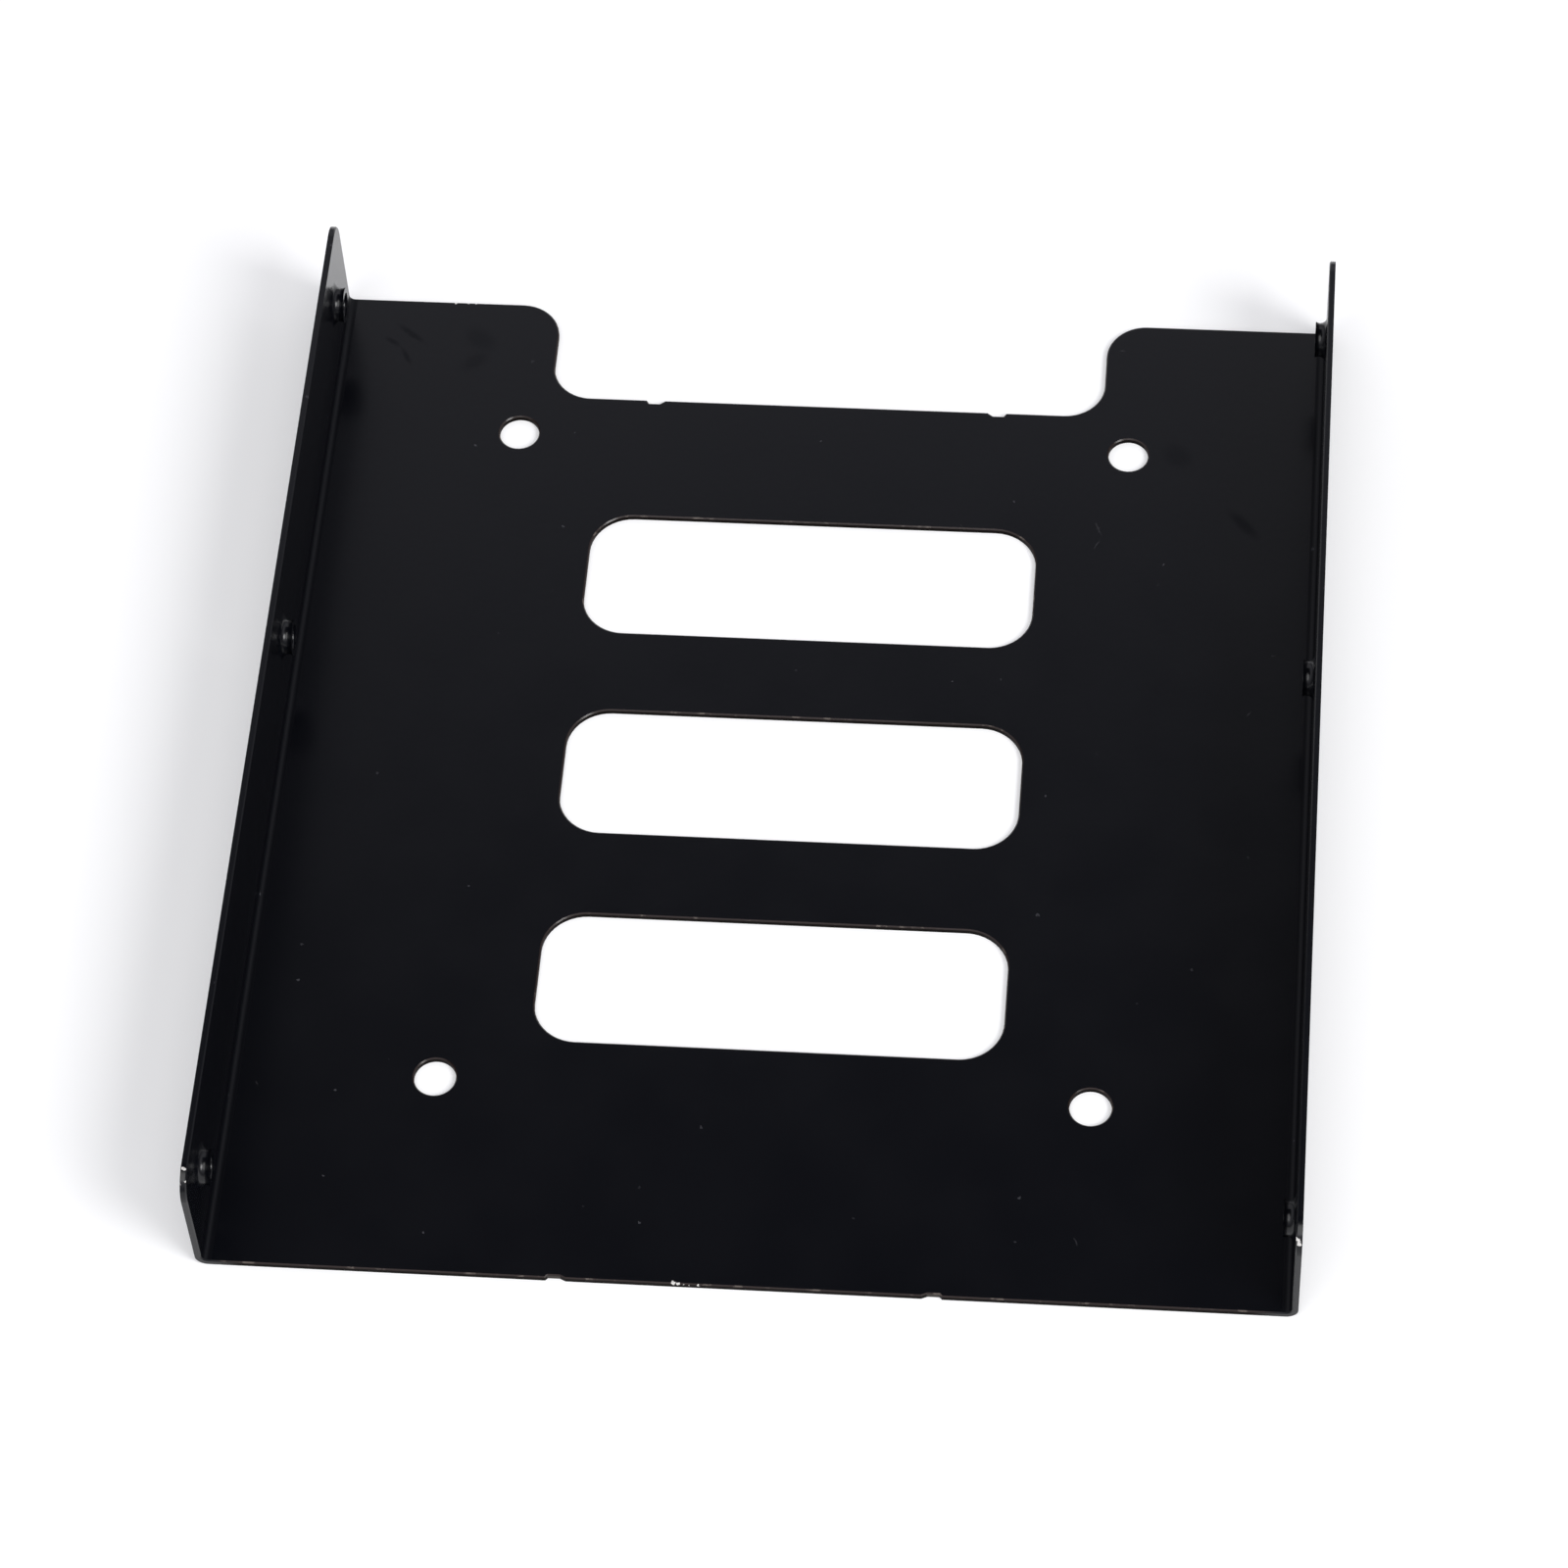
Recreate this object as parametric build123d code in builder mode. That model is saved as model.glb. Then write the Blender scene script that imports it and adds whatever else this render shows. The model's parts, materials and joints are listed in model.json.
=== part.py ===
from build123d import *
import os

# Drive bay adapter bracket: one folded steel sheet that carries a 2.5-inch drive in a 3.5-inch bay.
# Millimetres. +X is to the right, +Y runs from the plain front edge to the notched rear edge and
# +Z is up. The origin is the middle of the underside.

# Sheet and folds
sheet = 0.6
outer_width = 101.6  # the width of a 3.5-inch drive
flange_height = 13.8  # underside to the flange's top edge
bend_radius = 0.6  # inside of each fold
flange_corner_radius = 2.6
edge_break = 0.12  # broken edge on the inner side of each cut

# Tapped side holes, three in a row on the 3.5-inch drive's pattern
front_margin = 5.7  # front edge to the first hole
front_pitch = 60.0
rear_pitch = 41.6
rear_margin = 6.8  # last hole to the rear edge
side_hole_height = 8.0
tap_diameter = 2.5  # core of an M3 thread

# Collar drawn inwards round each tapped hole
collar_reach = 1.12  # beyond the flange's inner face
collar_wall = 0.43  # at the neck
collar_neck_depth = 0.7  # inner face to the neck
collar_root_flare = 0.72  # how far the root stands out from the neck
collar_lip_flare = 0.14  # how far the lip stands out from the neck
entry_chamfer = 0.3  # mouth on the flange's outer face

# Clearance holes for the drive, on the 2.5-inch drive's pattern
drive_hole_diameter = 4.0
drive_pitch_x = 61.72
drive_pitch_y = 76.6
drive_shift = 2.2  # pattern's middle behind the tray's middle

# Air slots
slot_count = 3
slot_width = 44.6
slot_length = 14.4
slot_corner_radius = 4.2
slot_pitch = 23.8
slot_shift = -0.5  # middle slot in front of the tray's middle

# Notch for the drive's cables
notch_width = 56.2
notch_depth = 11.8
notch_corner_radius = 4.0

# Nicks where the blank was parted from its strip, on the front edge and the notch's floor
nick_pitch = 35.0
nick_floor = 1.1
front_nick_depth = 0.25
notch_nick_depth = 0.4
nick_steep_run = 0.25  # side away from the middle
nick_gentle_run = 0.55  # side towards the middle

length = front_margin + front_pitch + rear_pitch + rear_margin
front_y = -length / 2
rear_y = length / 2
notch_floor_y = rear_y - notch_depth
inner_face = outer_width / 2 - sheet
side_rows = [front_y + front_margin, front_y + front_margin + front_pitch, rear_y - rear_margin]
tap_radius = tap_diameter / 2
neck_radius = tap_radius + collar_wall

with BuildPart() as bracket:
    # Folded sheet: the line is its outer face, seen along the tray
    with BuildLine(Plane.XZ.offset(-length / 2)):
        FilletPolyline(
            (-outer_width / 2, flange_height),
            (-outer_width / 2, 0),
            (outer_width / 2, 0),
            (outer_width / 2, flange_height),
            radius=bend_radius + sheet,
        )
    make_brake_formed(thickness=sheet, station_widths=length, side=Side.LEFT)
    top_corners = bracket.edges().filter_by(Axis.X).group_by(Axis.Z)[-1]
    fillet(top_corners, radius=flange_corner_radius)

    # Air slots
    with BuildSketch():
        with Locations((0, slot_shift)):
            with GridLocations(0, slot_pitch, 1, slot_count):
                RectangleRounded(slot_width, slot_length, slot_corner_radius)
    extrude(amount=sheet, mode=Mode.SUBTRACT)

    # Notch between two ears, with its four corners rounded
    with BuildSketch():
        with Locations((0, rear_y)):
            Rectangle(notch_width, notch_depth, align=(Align.CENTER, Align.MAX))
    extrude(amount=sheet, mode=Mode.SUBTRACT)
    fillet(bracket.edges(Select.LAST).filter_by(Axis.Z), radius=notch_corner_radius)

    # Parting nicks, drawn on the right and mirrored
    floor_start = (nick_pitch - nick_floor) / 2
    floor_end = (nick_pitch + nick_floor) / 2
    with BuildSketch():
        for edge_y, floor_y in (
            (front_y, front_y + front_nick_depth),
            (notch_floor_y, notch_floor_y - notch_nick_depth),
        ):
            with BuildLine():
                Polyline(
                    (floor_start - nick_gentle_run, edge_y),
                    (floor_start, floor_y),
                    (floor_end, floor_y),
                    (floor_end + nick_steep_run, edge_y),
                    close=True,
                )
            make_face()
        mirror(about=Plane.YZ)
    extrude(amount=sheet, mode=Mode.SUBTRACT)

    # Clearance holes for the drive's screws
    with Locations((0, drive_shift, sheet)):
        with GridLocations(drive_pitch_x, drive_pitch_y, 2, 2):
            Hole(drive_hole_diameter / 2, depth=sheet)

    # Broken edge round the tray, its cut-outs and, across the folds, the flanges
    tray_top = bracket.faces().filter_by(Axis.Z).sort_by(Axis.Z)[1]
    chamfer(tray_top.edges().sort_by(Axis.X)[1:-1], length=edge_break)

    # Collars: a waisted profile turned about each side hole's axis
    for side in (-1, 1):
        for row in side_rows:
            hole = Plane(
                origin=(side * inner_face, row, side_hole_height),
                x_dir=(-side, 0, 0),
                z_dir=(0, side, 0),
            )
            with BuildSketch(hole):
                with BuildLine():
                    waist = ThreePointArc(
                        (0, neck_radius + collar_root_flare),
                        (collar_neck_depth, neck_radius),
                        (collar_reach, neck_radius + collar_lip_flare),
                    )
                    Polyline(
                        waist @ 1,
                        (collar_reach, 0),
                        (-sheet / 2, 0),
                        (-sheet / 2, neck_radius + collar_root_flare),
                        waist @ 0,
                    )
                make_face()
            revolve(axis=Axis(hole.origin, hole.x_dir))

    # Tapped cores through both flanges, with chamfered mouths outside
    with BuildSketch(Plane.YZ):
        with Locations(*[(row, side_hole_height) for row in side_rows]):
            Circle(tap_radius)
    extrude(amount=outer_width, both=True, mode=Mode.SUBTRACT)
    core_rims = bracket.edges(Select.LAST).filter_by(GeomType.CIRCLE).group_by(Axis.X)
    chamfer(core_rims[0] + core_rims[-1], length=entry_chamfer)

bracket.part.label = "bracket"
os.makedirs("parts", exist_ok=True)
export_step(bracket.part, "parts/bracket.step")
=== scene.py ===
import json
import math

import bmesh
import bpy
from mathutils import Matrix, Vector


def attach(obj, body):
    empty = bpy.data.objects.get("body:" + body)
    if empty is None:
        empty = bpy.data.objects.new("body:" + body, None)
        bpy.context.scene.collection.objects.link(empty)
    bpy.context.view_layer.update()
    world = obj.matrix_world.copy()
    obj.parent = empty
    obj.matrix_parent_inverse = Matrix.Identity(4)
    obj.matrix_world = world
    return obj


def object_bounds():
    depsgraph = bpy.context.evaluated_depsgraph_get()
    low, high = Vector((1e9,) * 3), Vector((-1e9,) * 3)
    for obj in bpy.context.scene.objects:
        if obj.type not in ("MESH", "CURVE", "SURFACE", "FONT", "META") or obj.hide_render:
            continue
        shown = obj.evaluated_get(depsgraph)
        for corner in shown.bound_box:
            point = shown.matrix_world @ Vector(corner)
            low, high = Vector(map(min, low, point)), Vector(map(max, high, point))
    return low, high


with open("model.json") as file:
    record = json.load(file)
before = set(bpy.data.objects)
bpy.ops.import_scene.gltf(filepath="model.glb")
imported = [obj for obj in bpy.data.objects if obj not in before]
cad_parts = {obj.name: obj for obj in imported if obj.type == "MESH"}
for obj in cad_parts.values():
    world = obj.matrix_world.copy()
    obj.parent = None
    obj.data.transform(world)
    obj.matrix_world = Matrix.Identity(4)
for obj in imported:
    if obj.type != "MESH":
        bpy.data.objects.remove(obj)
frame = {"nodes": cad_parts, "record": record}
cad_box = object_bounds()
mounts = {mount["name"]: mount for mount in frame["record"]["mounts"]}
scene = bpy.context.scene
scene.view_settings.view_transform = "Standard"

MM = 0.001

# The part, in millimetres in the frame
HALF_WIDTH = cad_box[1][0] / MM
HALF_LENGTH = cad_box[1][1] / MM
SHEET = mounts["drive_seat"]["pos_m"][2] / MM
FOLD_RADIUS = 0.6
TRAY_HALF_WIDTH = HALF_WIDTH - SHEET - FOLD_RADIUS  # flat part, between the folds
FOLD_AXIS = (TRAY_HALF_WIDTH, 0.0, SHEET + FOLD_RADIUS)
TAPPED_HOLES = [mount for mount in mounts.values() if mount["kind"] == "threaded_hole"]
PAST_SLOTS = 35.0  # between the slots and the nicks
NICK_X = 17.5
NICK_HALF_WIDTH = 0.6

# M3 thread in the tapped holes, in millimetres
THREAD_PITCH = 0.5
THREAD_HEIGHT = 0.17
THREAD_HALF_WIDTH = 0.2
THREAD_SINK = 0.02  # into the core's wall
THREAD_RUN_OUT = 0.3  # turns at each end
THREAD_STEPS = 40  # in each turn
THREAD_SHARP_ANGLE = 100.0  # degrees

# Camera: place, lens and sensor in millimetres, angles in degrees and clip in metres
CAMERA_PLACE = (44.115, -319.418, 470.612)
CAMERA_AZIMUTH = 8.002
CAMERA_ELEVATION = 55.639
CAMERA_ROLL = -4.212
CAMERA_LENS = 134.684
CAMERA_SENSOR = 36.0
CAMERA_CLIP = (0.01, 10.0)

# Lamps: name, place and size in metres, and power in watts
LAMPS = (
    ("key", (1.0, -0.71, 1.08), 0.75, 14.4),
    ("fill", (-0.04, -0.72, 1.36), 1.2, 10.5),
)

# Floor: size and drop below the part in metres, colour, and glow where it is seen
FLOOR_SIZE = 4.0
FLOOR_DROP = 0.00002
FLOOR_COLOUR = (0.8, 0.8, 0.8)
FLOOR_LIFT = 0.23

# Sky: colour, and two steps by rise, 0 at the horizon and 1 overhead: rises, then strengths
SKY_COLOUR = (0.97, 0.97, 1.05)
SKY_LOW = (0.2, 0.5, 0.3, 0.74)
SKY_TOP = (0.765, 0.815, 1.0, 0.03)

# The coat: two tones in linear colour, its gloss, and how metallic a bare spot or painted highlight is
COAT_DARK = (0.0012, 0.0015, 0.0029)
COAT_LIGHT = (0.0017, 0.002, 0.0035)
COAT_ROUGHNESS = (0.225, 0.25)
COAT_SPECULAR = 0.5
COAT_IOR = 1.42
BARE_AND_GLINT_METALLIC = 0.3

# What takes the coat's place under each mask, from the lowest layer to the highest
COLOUR_LAYERS = {
    "wall_and_shade": (0.004, 0.0025, 0.002),
    "rim": (0.02, 0.0125, 0.0105),
    # Pale flecks along the rims: partly wear, partly painted glints
    "wear_and_glints": (0.1, 0.082, 0.07),
    "nick": (0.06, 0.055, 0.05),
    "scratch": (0.02, 0.02, 0.023),
    "dust": (0.045, 0.045, 0.051),
    # Chips, and painted highlights on the flanges' rounded corners
    "bare_and_glint": (0.74, 0.72, 0.69),
}
ROUGHNESS_LAYERS = {"fold": 0.4, "wall_and_shade": 0.35, "bare_and_glint": 0.3}
# The cut walls' reflection is nearly taken away: painted shade standing in for the shadow of a gap under
# the sheet's edges
SPECULAR_LAYERS = {"smudge": 0.32, "faint": 0.4, "end": 0.4, "fold": 0.25, "wall_and_shade": 0.03}

# Noise: waves in a millimetre and detail, and the ranges of it that are used
TONE_NOISE = (0.06, 3.0)
GLOSS_NOISE = (0.11, 4.0)
GLOSS_RANGE = (0.3, 0.7)
# The rims' flecks are partly wear and partly painted glints
WEAR_AND_GLINT_NOISE = (0.7, 3.0)
WEAR_AND_GLINT_RANGE = (0.56, 0.68)
RAGGED_NOISE = (4.0, 3.0)
RAGGED_WIDTH = 0.5  # of the shift, in millimetres
NOISE_MIDDLE = 0.5

# Orange peel: noise, the share of grain in it, and its depth in metres
PEEL_NOISE = (1.7, 2.0)
GRAIN_NOISE = (7.0, 1.0)
GRAIN_SHARE = 0.35
PEEL_DEPTH = 2.5e-6

# Limits of the masks: level is 0 on upright faces and 1 on flat ones, and fades are in millimetres
TRAY_MARGIN = 0.01
WALL_FADE = (TRAY_HALF_WIDTH - 0.1, TRAY_HALF_WIDTH - 3.1)
WALL_LEVEL = 0.5
RIM_LEVEL = 0.7
RIM_LEVEL_MARGIN = 0.2
END_FACING = (0.7, 1.0)
END_FADE = (HALF_LENGTH - 0.8, HALF_LENGTH - 0.1)
FOLD_FADE = (FOLD_RADIUS + 0.08, FOLD_RADIUS + 0.01)
SPOT_CORE = 0.7  # share of a spot's radius
STREAK_CORE = 0.25  # share of a streak's half width

# Dust: cells in a millimetre, the chances that leave a speck, its size in cells, and least level
DUST_CELLS = 0.2
DUST_CHANCE = (0.86, 1.0)
DUST_SIZE = 0.012
DUST_SPREAD = 0.02
DUST_LEVEL = 0.7

# Pale spots where the coat is chipped, and painted highlights on the flanges' rounded near corners:
# place and radius
CHIPS_AND_GLINTS = (
    ((-6.42, -56.95, 0.52), 0.23),
    ((-5.97, -56.97, 0.5), 0.18),
    ((-5.5, -57.0, 0.45), 0.1),
    ((-4.95, -57.0, 0.4), 0.08),
    ((-4.1, -57.0, 0.45), 0.12),
    ((-50.6, -54.97, 13.75), 0.16),
    ((-50.42, -54.99, 13.75), 0.15),
    # Painted highlights on the left flange's rounded corner
    ((-50.3, -56.05, 13.25), 0.12),
    ((-50.78, -56.2, 13.1), 0.1),
    # Chip on the right flange's rounded corner, brightened as a painted highlight
    ((50.42, -56.4, 12.92), 0.24),
    ((50.5, -56.62, 12.62), 0.24),
    ((50.22, -56.25, 13.05), 0.14),
    ((-39.1, 57.0, 0.5), 0.2),
    ((-37.9, 57.0, 0.5), 0.24),
    ((-37.1, 57.0, 0.5), 0.18),
)

# Marks on the tray: middle, half length, half width and turn in degrees
SMUDGES = (
    ((-43.3, 52.7), 2.5, 0.5, -37),
    ((-45.1, 51.6), 1.3, 0.4, -31),
    ((-43.5, 49.8), 1.6, 0.4, -61),
    ((42.7, 32.3), 3.0, 0.9, -47),
)
FAINT_SMUDGES = (
    ((-36.1, 52.3), 2.6, 1.7, -40),
    ((-36.4, 49.4), 2.3, 1.3, 44),
    ((35.8, 40.6), 2.4, 1.8, -48),
)
SCRATCHES = (
    ((28.2, 29.1), 0.9, 0.12, -115),
    ((28.3, 31.1), 1.2, 0.12, -69),
    ((30.2, -50.6), 0.6, 0.1, -64),
    ((-47.6, -37.7), 0.4, 0.1, -53),
    ((44.0, 9.3), 0.6, 0.1, 53),
    ((46.2, 16.4), 0.4, 0.1, -7),
    ((29.7, 53.8), 0.4, 0.12, -13),
)

# Numbers of the mix node's colour sockets
MIX_FIRST = 6
MIX_SECOND = 7
MIX_RESULT = 2


def add(tree, kind, inputs=None, **settings):
    """Adds a node, sets its properties, and sets or links its inputs."""
    made = tree.nodes.new(kind)
    for name, value in settings.items():
        setattr(made, name, value)
    for key, value in (inputs or {}).items():
        if isinstance(value, bpy.types.NodeSocket):
            tree.links.new(value, made.inputs[key])
        else:
            made.inputs[key].default_value = value
    return made


def math_node(tree, operation, *values):
    return add(tree, "ShaderNodeMath", dict(enumerate(values)), operation=operation).outputs[0]


def vector_node(tree, operation, *values):
    return add(tree, "ShaderNodeVectorMath", dict(enumerate(values)), operation=operation).outputs


def both(tree, *masks):
    """Where every mask is set."""
    total = masks[0]
    for mask in masks[1:]:
        total = math_node(tree, "MULTIPLY", total, mask)
    return total


def either(tree, masks):
    """Where any mask is set."""
    total = masks[0]
    for mask in masks[1:]:
        total = math_node(tree, "MAXIMUM", total, mask)
    return total


def ramp(tree, value, low, high, start=0.0, end=1.0):
    """Smooth step of a value from start at low to end at high."""
    inputs = {0: value, 1: low, 2: high, 3: start, 4: end}
    return add(tree, "ShaderNodeMapRange", inputs, interpolation_type="SMOOTHSTEP").outputs[0]


def noise(tree, place, scale, detail):
    return add(tree, "ShaderNodeTexNoise", {"Vector": place, "Scale": scale, "Detail": detail}).outputs


def mix(tree, share, first, second):
    inputs = {"Factor": share, "A": first, "B": second}
    return add(tree, "ShaderNodeMix", inputs).outputs[0]


def mix_colour(tree, share, first, second):
    inputs = {"Factor": share}
    for key, value in ((MIX_FIRST, first), (MIX_SECOND, second)):
        inputs[key] = value if isinstance(value, bpy.types.NodeSocket) else (*value, 1.0)
    return add(tree, "ShaderNodeMix", inputs, data_type="RGBA").outputs[MIX_RESULT]


def layered(tree, base, layers, masks, blend):
    """The base, with each layer blended in where its mask is set."""
    for name, layer in layers.items():
        base = blend(tree, masks[name], base, layer)
    return base


def new_material(name):
    material = bpy.data.materials.new(name)
    material.use_nodes = True
    material.node_tree.nodes.clear()
    return material


def ragged_place(tree, place):
    """The place shifted a little each way, for marks with ragged outlines."""
    shift = noise(tree, place, *RAGGED_NOISE)["Color"]
    centred = vector_node(tree, "SUBTRACT", shift, (NOISE_MIDDLE,) * 3)[0]
    return vector_node(tree, "MULTIPLY_ADD", centred, (RAGGED_WIDTH,) * 3, place)[0]


def spot(tree, place, middle, radius):
    away = vector_node(tree, "DISTANCE", place, middle)["Value"]
    return ramp(tree, away, radius, radius * SPOT_CORE)


def streak(tree, place, middle, half_length, half_width, turn):
    """Long spot on the tray's upper face, full in the middle and faint at its rim."""
    inputs = {
        "Vector": place,
        "Location": (*middle, SHEET),
        "Rotation": (0, 0, math.radians(turn)),
        "Scale": (half_length, half_width, SHEET / 2),
    }
    along = add(tree, "ShaderNodeMapping", inputs, vector_type="TEXTURE").outputs[0]
    return ramp(tree, vector_node(tree, "LENGTH", along)["Value"], 1.0, STREAK_CORE)


def streaks(tree, place, marks):
    return either(tree, [streak(tree, place, *mark) for mark in marks])


def dust_specks(tree, place, rise):
    """Sparse specks on the faces that look up."""
    inputs = {"Vector": place, "Scale": DUST_CELLS}
    cells = add(tree, "ShaderNodeTexVoronoi", inputs, voronoi_dimensions="2D").outputs
    chance = add(tree, "ShaderNodeSeparateColor", {0: cells["Color"]}).outputs
    chosen = ramp(tree, chance["Red"], *DUST_CHANCE)
    size = math_node(tree, "MULTIPLY_ADD", chance["Green"], DUST_SPREAD, DUST_SIZE)
    near = math_node(tree, "LESS_THAN", cells["Distance"], size)
    return both(tree, near, chosen, math_node(tree, "GREATER_THAN", rise, DUST_LEVEL))


def coat_masks(tree, place):
    """Masks, by name, of the places where the coat differs."""
    axes = add(tree, "ShaderNodeSeparateXYZ", {0: place}).outputs
    side = math_node(tree, "ABSOLUTE", axes["X"])
    along = math_node(tree, "ABSOLUTE", axes["Y"])
    normal = add(tree, "ShaderNodeNewGeometry").outputs["True Normal"]
    facing = add(tree, "ShaderNodeSeparateXYZ", {0: normal}).outputs
    level = math_node(tree, "ABSOLUTE", facing["Z"])
    ragged = ragged_place(tree, place)

    # Cut walls through the tray, darkened as painted shade; their broken rims, where the coat is thin,
    # worn and painted with glints; and the parting nicks
    low = math_node(tree, "LESS_THAN", axes["Z"], SHEET + TRAY_MARGIN)
    through = both(tree, low, ramp(tree, side, *WALL_FADE))
    wall_and_shade = both(tree, through, math_node(tree, "LESS_THAN", level, WALL_LEVEL))
    rim = both(tree, through, math_node(tree, "COMPARE", level, RIM_LEVEL, RIM_LEVEL_MARGIN))
    # Pale flecks on the rims, partly wear and partly painted glints
    wear_and_glints = both(tree, rim, ramp(tree, noise(tree, ragged, *WEAR_AND_GLINT_NOISE)[0], *WEAR_AND_GLINT_RANGE))
    past_slots = math_node(tree, "GREATER_THAN", along, PAST_SLOTS)
    from_nick = math_node(tree, "ABSOLUTE", math_node(tree, "SUBTRACT", side, NICK_X))
    nick = both(tree, wall_and_shade, past_slots, math_node(tree, "LESS_THAN", from_nick, NICK_HALF_WIDTH))

    # Ends of the flanges, and the inside of the folds
    facing_end = ramp(tree, math_node(tree, "ABSOLUTE", facing["Y"]), *END_FACING)
    end = both(tree, facing_end, ramp(tree, along, *END_FADE))
    section = add(tree, "ShaderNodeCombineXYZ", {0: side, 2: axes["Z"]}).outputs[0]
    from_fold = vector_node(tree, "DISTANCE", section, FOLD_AXIS)["Value"]

    return {
        "wall_and_shade": wall_and_shade,
        "rim": rim,
        "wear_and_glints": wear_and_glints,
        "nick": nick,
        "end": end,
        "fold": ramp(tree, from_fold, *FOLD_FADE),
        "bare_and_glint": either(tree, [spot(tree, ragged, *chip) for chip in CHIPS_AND_GLINTS]),
        "smudge": streaks(tree, ragged, SMUDGES),
        "faint": streaks(tree, ragged, FAINT_SMUDGES),
        "scratch": streaks(tree, ragged, SCRATCHES),
        "dust": dust_specks(tree, ragged, facing["Z"]),
    }


def orange_peel(tree, place):
    """Normal of a faintly uneven coat with a fine grain."""
    peel = noise(tree, place, *PEEL_NOISE)[0]
    grain = noise(tree, place, *GRAIN_NOISE)[0]
    height = math_node(tree, "MULTIPLY_ADD", grain, GRAIN_SHARE, peel)
    inputs = {"Height": height, "Strength": 1.0, "Distance": PEEL_DEPTH}
    return add(tree, "ShaderNodeBump", inputs).outputs[0]


def coat_material():
    """Black satin coat, thin on cut edges, with dust, scuffs, chips, painted highlights and painted
    shade.
    """
    material = new_material("black_coat_look")
    tree = material.node_tree
    coords = add(tree, "ShaderNodeTexCoord").outputs["Object"]
    place = add(tree, "ShaderNodeVectorMath", {0: coords, "Scale": 1 / MM}, operation="SCALE").outputs[0]
    masks = coat_masks(tree, place)
    colour = mix_colour(tree, noise(tree, place, *TONE_NOISE)[0], COAT_DARK, COAT_LIGHT)
    roughness = ramp(tree, noise(tree, place, *GLOSS_NOISE)[0], *GLOSS_RANGE, *COAT_ROUGHNESS)
    inputs = {
        "Base Color": layered(tree, colour, COLOUR_LAYERS, masks, mix_colour),
        "Metallic": math_node(tree, "MULTIPLY", masks["bare_and_glint"], BARE_AND_GLINT_METALLIC),
        "Roughness": layered(tree, roughness, ROUGHNESS_LAYERS, masks, mix),
        "Specular IOR Level": layered(tree, COAT_SPECULAR, SPECULAR_LAYERS, masks, mix),
        "Normal": orange_peel(tree, place),
        "IOR": COAT_IOR,
    }
    shader = add(tree, "ShaderNodeBsdfPrincipled", inputs)
    add(tree, "ShaderNodeOutputMaterial", {"Surface": shader.outputs[0]})
    return material


def thread_ridge(mesh, hole):
    """Adds the thread's helical ridge in one tapped hole to the mesh."""
    middle = Vector(hole["pos_m"]) / MM
    outward = hole["axis"][0]
    core_radius = hole["dims"]["r_mm"]
    length = hole["dims"]["length_mm"]
    count = int(length / THREAD_PITCH * THREAD_STEPS)
    before = None
    for step in range(count + 1):
        turn = step / THREAD_STEPS
        angle = turn * math.tau
        taper = min(1.0, turn / THREAD_RUN_OUT, (count / THREAD_STEPS - turn) / THREAD_RUN_OUT)
        crest = core_radius - THREAD_HEIGHT * taper
        root = core_radius + THREAD_SINK
        ring = []
        for offset, radius in ((-THREAD_HALF_WIDTH, root), (0.0, crest), (THREAD_HALF_WIDTH, root)):
            across = min(max(turn * THREAD_PITCH + offset, 0.0), length)
            point = Vector((
                middle.x + outward * (across - length / 2),
                middle.y + radius * math.cos(angle),
                middle.z + radius * math.sin(angle),
            ))
            ring.append(mesh.verts.new(point * MM))
        if before:
            for one, other in ((0, 1), (1, 2), (2, 0)):
                mesh.faces.new((before[one], before[other], ring[other], ring[one]))
        else:
            mesh.faces.new(ring)
        before = ring
    mesh.faces.new(before)


def threads(material):
    mesh = bmesh.new()
    for hole in TAPPED_HOLES:
        thread_ridge(mesh, hole)
    bmesh.ops.recalc_face_normals(mesh, faces=mesh.faces)
    data = bpy.data.meshes.new("collar_threads")
    mesh.to_mesh(data)
    mesh.free()
    piece = bpy.data.objects.new("collar_threads", data)
    scene.collection.objects.link(piece)
    data.materials.append(material)
    data.shade_smooth()
    data.set_sharp_from_angle(angle=math.radians(THREAD_SHARP_ANGLE))
    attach(piece, "root")


def seen(tree):
    """1 for rays from the camera and for those that it sees in gloss or through glass."""
    path = add(tree, "ShaderNodeLightPath").outputs
    return either(tree, [path["Is Camera Ray"], path["Is Glossy Ray"], path["Is Transmission Ray"]])


def floor_material():
    """White sweep that keeps the part's shadow and is lifted to white where it is seen."""
    material = new_material("white_sweep")
    tree = material.node_tree
    diffuse = add(tree, "ShaderNodeBsdfDiffuse", {"Color": (*FLOOR_COLOUR, 1.0)})
    lift = math_node(tree, "MULTIPLY", seen(tree), FLOOR_LIFT)
    glow = add(tree, "ShaderNodeEmission", {"Strength": lift})
    total = add(tree, "ShaderNodeAddShader", {0: diffuse.outputs[0], 1: glow.outputs[0]})
    add(tree, "ShaderNodeOutputMaterial", {"Surface": total.outputs[0]})
    return material


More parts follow.
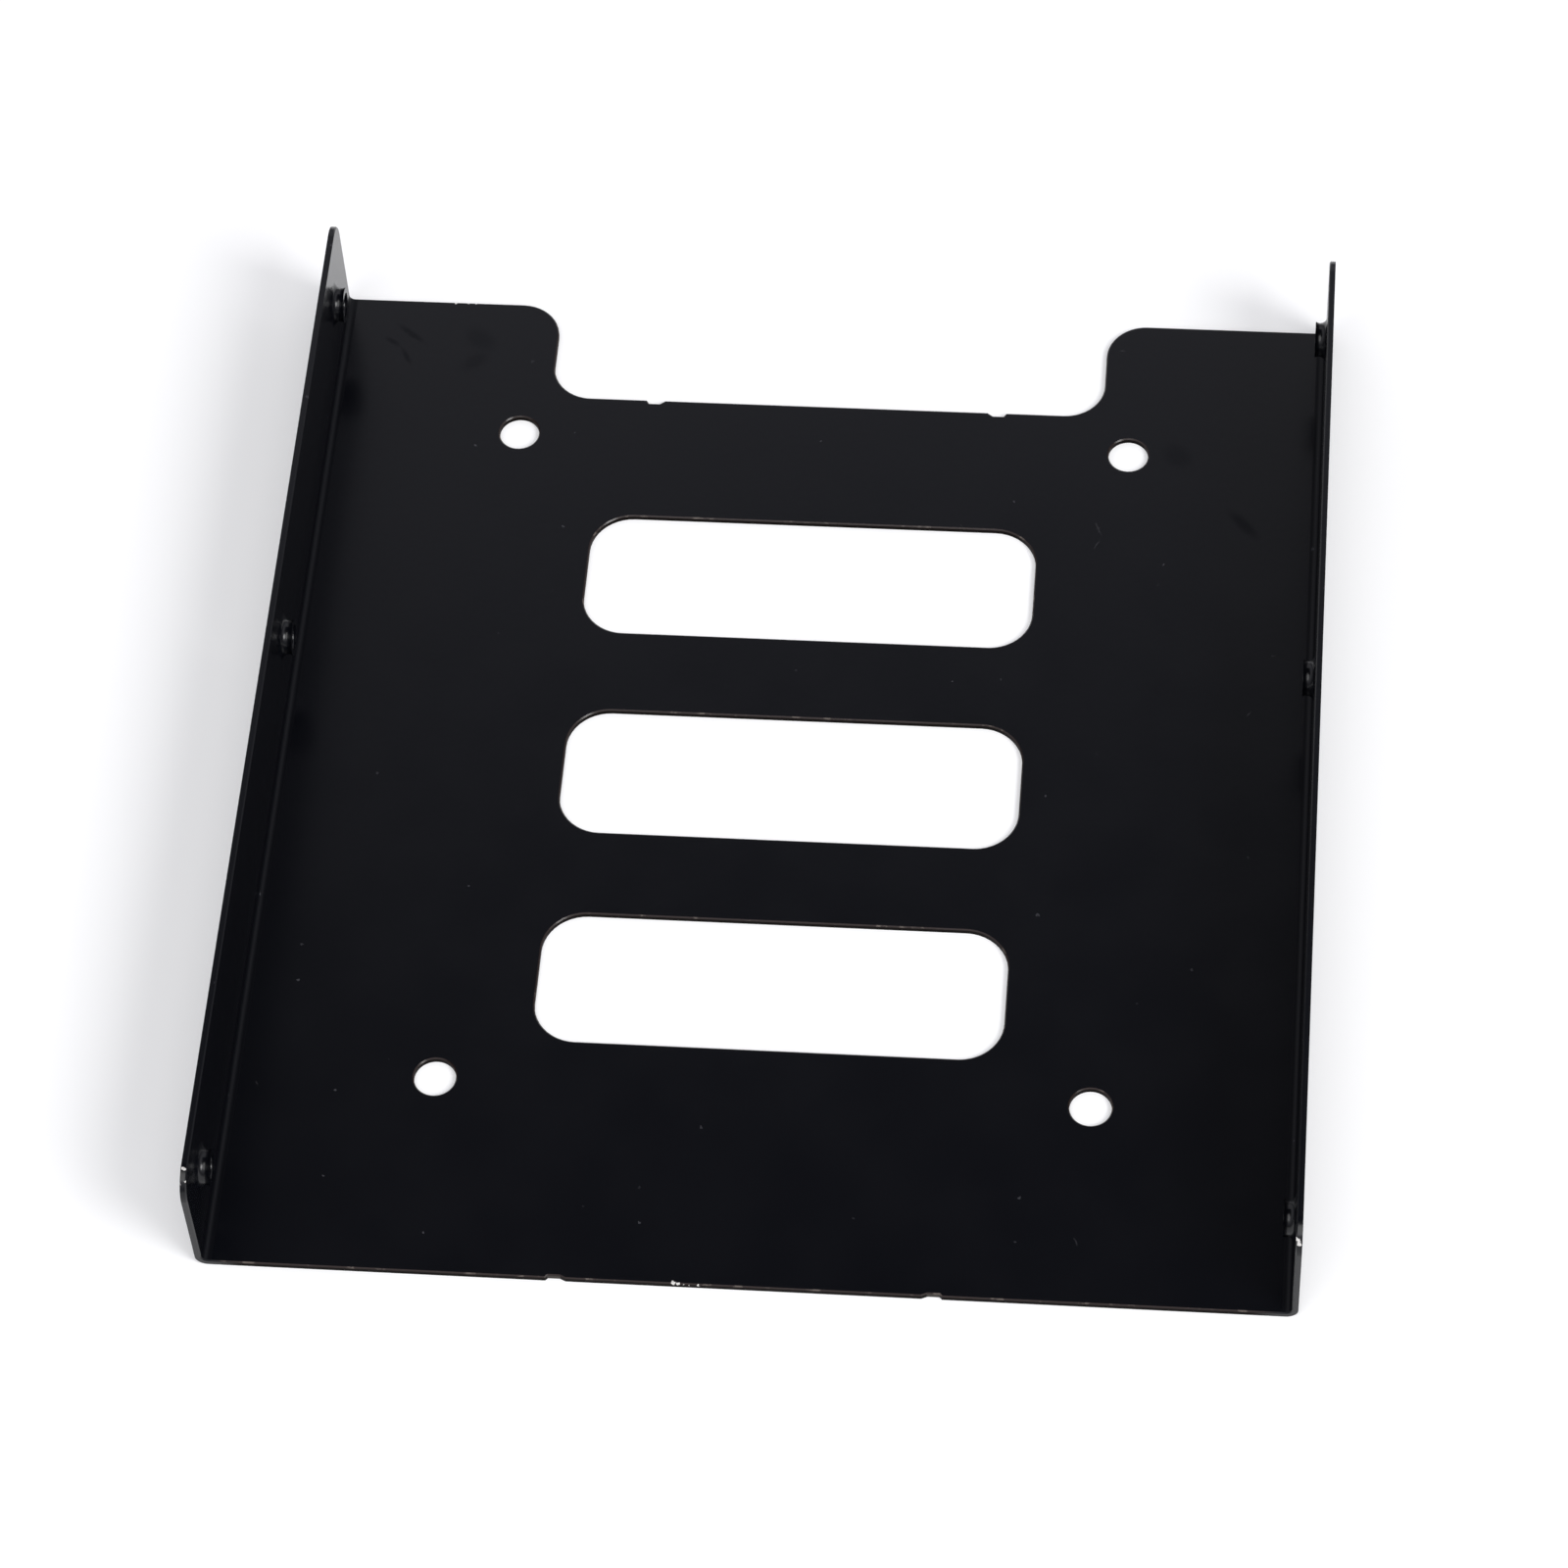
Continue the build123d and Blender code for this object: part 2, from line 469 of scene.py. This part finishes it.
def studio_floor():
    bpy.ops.mesh.primitive_plane_add(size=FLOOR_SIZE, location=(0, 0, -FLOOR_DROP))
    floor = bpy.context.object
    floor.name = "floor"
    floor.data.materials.append(floor_material())


def studio_sky():
    """Dim at the horizon, bright above it and dark overhead, and white where the camera sees it."""
    world = bpy.data.worlds.new("studio")
    scene.world = world
    world.use_nodes = True
    tree = world.node_tree
    tree.nodes.clear()
    way = add(tree, "ShaderNodeTexCoord").outputs["Generated"]
    rise = add(tree, "ShaderNodeSeparateXYZ", {0: way}).outputs["Z"]
    sky = math_node(tree, "MULTIPLY", ramp(tree, rise, *SKY_LOW), ramp(tree, rise, *SKY_TOP))
    camera_ray = add(tree, "ShaderNodeLightPath").outputs["Is Camera Ray"]
    strength = mix(tree, camera_ray, sky, 1.0)
    background = add(tree, "ShaderNodeBackground", {"Color": (*SKY_COLOUR, 1.0), "Strength": strength})
    add(tree, "ShaderNodeOutputWorld", {"Surface": background.outputs[0]})


def studio_lamps():
    for name, place, size, power in LAMPS:
        lamp = bpy.data.lights.new(name, "AREA")
        lamp.shape = "DISK"
        lamp.size = size
        lamp.energy = power
        holder = bpy.data.objects.new(name, lamp)
        holder.location = place
        holder.rotation_euler = (-Vector(place)).to_track_quat("-Z", "Y").to_euler()
        scene.collection.objects.link(holder)


def camera():
    data = bpy.data.cameras.new("camera")
    data.sensor_width = CAMERA_SENSOR
    data.lens = CAMERA_LENS
    data.clip_start, data.clip_end = CAMERA_CLIP
    holder = bpy.data.objects.new("camera", data)
    scene.collection.objects.link(holder)
    holder.matrix_world = (
        Matrix.Translation(Vector(CAMERA_PLACE) * MM)
        @ Matrix.Rotation(math.radians(CAMERA_AZIMUTH), 4, "Z")
        @ Matrix.Rotation(math.radians(90 - CAMERA_ELEVATION), 4, "X")
        @ Matrix.Rotation(math.radians(CAMERA_ROLL), 4, "Z")
    )
    scene.camera = holder


coat = coat_material()
frame["nodes"]["bracket"].data.materials[0] = coat
threads(coat)
studio_floor()
studio_sky()
studio_lamps()
camera()
